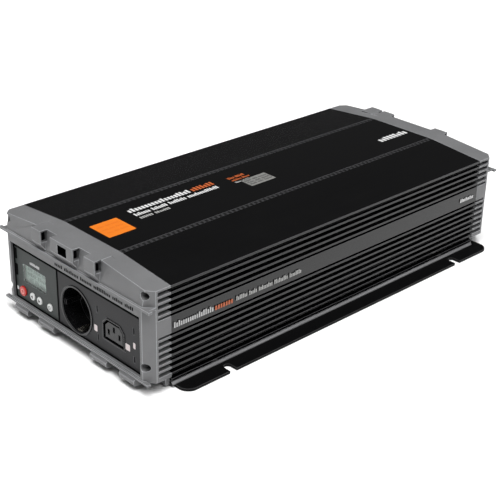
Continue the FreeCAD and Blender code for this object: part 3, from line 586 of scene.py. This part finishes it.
# prints and marks on the socket end
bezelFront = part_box("display_bezel")[0].y
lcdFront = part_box("lcd_module")[0].y
lipDepth = 0.004  # how far the cap's lips stand in front of its header
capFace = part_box("front_cap")[0].y + lipDepth
addBlockRow("display_badge", "front", (-0.0575, bezelFront, 0.0555), 0.014, 0.0026, "whiteInk", (9,))
addPlate("power_mark", "front", (-0.0858, bezelFront, 0.0235), (0.0026, 0.0034), 0.0006, "whiteInk")
lcdRows = [  # height above the foot, length, blocks in each word
    (0.0472, 0.026, (3, 4, 2)),
    (0.0422, 0.028, (5, 5)),
    (0.0372, 0.022, (3, 3, 3)),
]
lcdText = {"x": -0.059, "height": 0.0034, "thick": 0.00004}
for index, (z, length, words) in enumerate(lcdRows):
    addBlockRow("lcd_row_%d" % (index + 1), "front", (lcdText["x"], lcdFront, z), length, lcdText["height"],
                "lcdInk", words, lcdText["thick"])
# header print in the near-black pocket look: partly print, partly painted shadow under the rib's top edge
addBlockRow("header_print", "front", (0.030, capFace, 0.0725), 0.104, 0.0032, "pocket", (5, 9, 7, 10, 6, 5),
            0.00005)
# pale patches painted as the glints at the socket and outlet rims
paintedGlints = [  # name, x, height above the foot, width, height
    ("socket_painted_glint", 0.028, 0.0318, 0.0042, 0.0058),
    ("outlet_painted_glint_large", 0.0700, 0.0322, 0.0058, 0.0058),
    ("outlet_painted_glint_small", 0.0785, 0.0372, 0.0028, 0.0054),
]
for name, x, z, wide, tall in paintedGlints:
    addPlate(name, "front", (x, bezelFront, z), (wide, tall), 0.0009, "glintPaint")

# dark ring round the panel, painted shade along its recess edge, and painted shade strips on it
recessShade = {"size": (0.1779, 0.0544), "centreZ": 0.04125, "wide": 0.0015, "proud": 0.0004}
dropSelection()
bpy.ops.mesh.primitive_plane_add(size=1)
recessShadeRing = bpy.context.object
recessShadeRing.name = "panel_recess_painted_shade"
recessShadeRing.scale = (*recessShade["size"], 1)
bakePlace(recessShadeRing)
bpy.ops.object.mode_set(mode="EDIT")
bpy.ops.mesh.select_all(action="SELECT")
bpy.ops.mesh.inset(thickness=recessShade["wide"])
bpy.ops.mesh.delete(type="FACE")
bpy.ops.object.mode_set(mode="OBJECT")
finishPrint(recessShadeRing, "front", (0, bezelFront, recessShade["centreZ"]), recessShade["proud"], "pocket", "chassis")
# painted shade: in the gap between bezel and outlet plate, under the rib, and in two deep notches at the
# panel's left end
paintedShadeStrips = [  # name, x, height above the foot, width, height, corner
    ("panel_gap_painted_shade", -0.0243, 0.04125, 0.0016, 0.0514, 0.0003),
    ("rib_painted_shadow", 0, 0.0655, 0.1740, 0.0030, 0.0003),
    ("left_notch_painted_shade_upper", -0.0862, 0.0574, 0.0040, 0.0100, 0.0008),
    ("left_notch_painted_shade_lower", -0.0862, 0.0418, 0.0040, 0.0108, 0.0008),
]
paintedShadeThick = 0.0003
for name, x, z, wide, tall, corner in paintedShadeStrips:
    addPlate(name, "front", (x, bezelFront, z), (wide, tall), corner, "pocket", paintedShadeThick)
print("stage: front prints made")


# symbols on the buttons ride on the buttons
ringWidth = 0.28  # share of the symbol's radius
innerFaceShare = 0.3


def addSymbol(name, body, sides, radius, look, turn):
    low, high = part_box(body)
    centre = ((low.x + high.x) / 2, low.y, (low.z + high.z) / 2)
    dropSelection()
    bpy.ops.mesh.primitive_circle_add(vertices=sides, radius=radius, fill_type="NGON")
    symbol = bpy.context.object
    symbol.name = name
    symbol.rotation_euler = (0, 0, turn)
    bakePlace(symbol)
    bpy.ops.object.mode_set(mode="EDIT")
    bpy.ops.mesh.select_all(action="SELECT")
    bpy.ops.mesh.inset(thickness=radius * ringWidth)
    bpy.ops.object.mode_set(mode="OBJECT")
    pickFaces(symbol, lambda face: len(face.vertices) == sides and face.area > radius * radius * innerFaceShare)
    bpy.ops.mesh.delete(type="FACE")
    bpy.ops.object.mode_set(mode="OBJECT")
    finishPrint(symbol, "front", centre, printThick, look, body)


buttonSymbols = [  # piece, button node and body, sides, radius, look, turn in degrees
    ("power_symbol", "power_button", 28, 0.0024, "pinkInk", 0),
    ("key_left_symbol", "key_left", 3, 0.0019, "darkInk", -30),
    ("key_middle_symbol", "key_middle", 3, 0.0019, "darkInk", 30),
    ("key_right_symbol", "key_right", 20, 0.0016, "darkInk", 0),
]
for name, body, sides, radius, look, turn in buttonSymbols:
    addSymbol(name, body, sides, radius, look, math.radians(turn))
print("stage: button symbols made")

# polarity marks and rows on the battery end
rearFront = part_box("rear_panel")[1].y
markCorner = 0.0003
rearMarks = [  # name, x, height above the foot, width, height, thickness
    ("minus_mark", -0.038, 0.0635, 0.006, 0.0014, printThick),
    ("plus_mark_flat", -0.066, 0.0635, 0.006, 0.0014, printThick),
    ("plus_mark_upright", -0.066, 0.0635, 0.0014, 0.006, 0.00007),
    ("earth_mark", -0.079, 0.0315, 0.005, 0.0012, printThick),
]
for name, x, z, wide, tall, thick in rearMarks:
    addPlate(name, "rear", (x, rearFront, z), (wide, tall), markCorner, "whiteInk", thick)
addBlockRow("remote_print", "rear", (-0.051, rearFront, 0.0325), 0.014, 0.0018, "whiteInk", (6,))

# rating plate under the base
ratingPlate = {"y": 0.02, "size": (0.090, 0.055), "corner": 0.002, "thick": 0.00005, "rowX": -0.006,
               "firstRowY": 0.038, "rowStep": 0.009, "rowLength": 0.068, "rowHeight": 0.0028,
               "rows": ((5, 7, 4), (8, 6), (4, 4, 6, 3), (6, 9), (5, 5, 5))}
addPlate("rating_plate", "under", (0, ratingPlate["y"], 0), ratingPlate["size"], ratingPlate["corner"],
         "silverPlate", ratingPlate["thick"])
for index, words in enumerate(ratingPlate["rows"]):
    y = ratingPlate["firstRowY"] - index * ratingPlate["rowStep"]
    addBlockRow("rating_row_%d" % (index + 1), "under", (ratingPlate["rowX"], y, -ratingPlate["thick"]),
                ratingPlate["rowLength"], ratingPlate["rowHeight"], "darkInk", words, shadeThick)
print("stage: rear and underside marks made")

# floor, light and camera
studio = {"floorSize": 9.0, "floorZ": -0.0002, "floorRoughness": 0.7, "dimFloor": 0.86, "brightFloor": 0.9,
          "skyStrength": 0.06}
dropSelection()
bpy.ops.mesh.primitive_plane_add(size=studio["floorSize"], location=(0, 0, studio["floorZ"]))
floor = bpy.context.object
floor.name = "studio_floor"
floorMaterial, floorShader, floorPlace = startMaterial("studio_floor_white", studio["floorRoughness"])
floorTone = addNoise(floorMaterial, floorPlace, 1.5, 2.0)
floorTint = addRamp(floorMaterial, floorTone,
                    [(0.3, (studio["dimFloor"],) * 3), (0.7, (studio["brightFloor"],) * 3)])
floorMaterial.node_tree.links.new(floorTint, floorShader.inputs["Base Color"])
dress(floor, floorMaterial)

world = bpy.data.worlds.new("studio")
bpy.context.scene.world = world
world.use_nodes = True
sky = world.node_tree.nodes["Background"]
sky.inputs["Color"].default_value = (1, 1, 1, 1)
sky.inputs["Strength"].default_value = studio["skyStrength"]
bpy.context.scene.view_settings.view_transform = "Standard"


def towards(azimuth, elevation):  # from the case, azimuth 0 in front of the socket end
    a, e = math.radians(azimuth), math.radians(elevation)
    return Vector((math.sin(a) * math.cos(e), -math.cos(a) * math.cos(e), math.sin(e)))


def addLamp(name, light):
    lamp = bpy.data.objects.new(name, light)
    bpy.context.scene.collection.objects.link(lamp)
    return lamp


suns = {
    "key_light": {"azimuth": 84, "elevation": 50, "strength": 1.15, "spread": 30, "inGloss": True},
    "fill_light": {"azimuth": -10, "elevation": 62, "strength": 0.6, "spread": 40, "inGloss": True},
    "top_light": {"azimuth": 46, "elevation": 74, "strength": 2.5, "spread": 36, "inGloss": False},
}
for name, sun in suns.items():
    light = bpy.data.lights.new(name, "SUN")
    light.energy = sun["strength"]
    light.angle = math.radians(sun["spread"])
    lamp = addLamp(name, light)
    lamp.rotation_euler = towards(sun["azimuth"], sun["elevation"]).to_track_quat("Z", "Y").to_euler()
    lamp.visible_glossy = sun["inGloss"]

softBox = {"size": 1.8, "watts": 20, "height": 2.0}
softBoxLight = bpy.data.lights.new("overhead_softbox", "AREA")
softBoxLight.shape = "SQUARE"
softBoxLight.size = softBox["size"]
softBoxLight.energy = softBox["watts"]
addLamp("overhead_softbox", softBoxLight).location = (0, 0, softBox["height"])

view = {"azimuth": 46.06, "elevation": 26.23, "roll": 1.30, "distance": 1.127, "lens": 84.7,
        "sensor": 36, "farClip": 50, "target": (-0.0164, 0.0, 0.0163)}
cameraData = bpy.data.cameras.new("camera")
cameraData.lens = view["lens"]
cameraData.sensor_width = view["sensor"]
cameraData.clip_end = view["farClip"]
camera = bpy.data.objects.new("camera", cameraData)
bpy.context.scene.collection.objects.link(camera)
back = towards(view["azimuth"], view["elevation"])
around, roll = math.radians(view["azimuth"]), math.radians(view["roll"])
right = Vector((math.cos(around), math.sin(around), 0))
up = back.cross(right)
sideways = right * math.cos(roll) + up * math.sin(roll)
upwards = up * math.cos(roll) - right * math.sin(roll)
camera.matrix_world = (Matrix.Translation(Vector(view["target"]) + back * view["distance"])
                       @ Matrix((sideways, upwards, back)).transposed().to_4x4())
bpy.context.scene.camera = camera

print("stage: done")
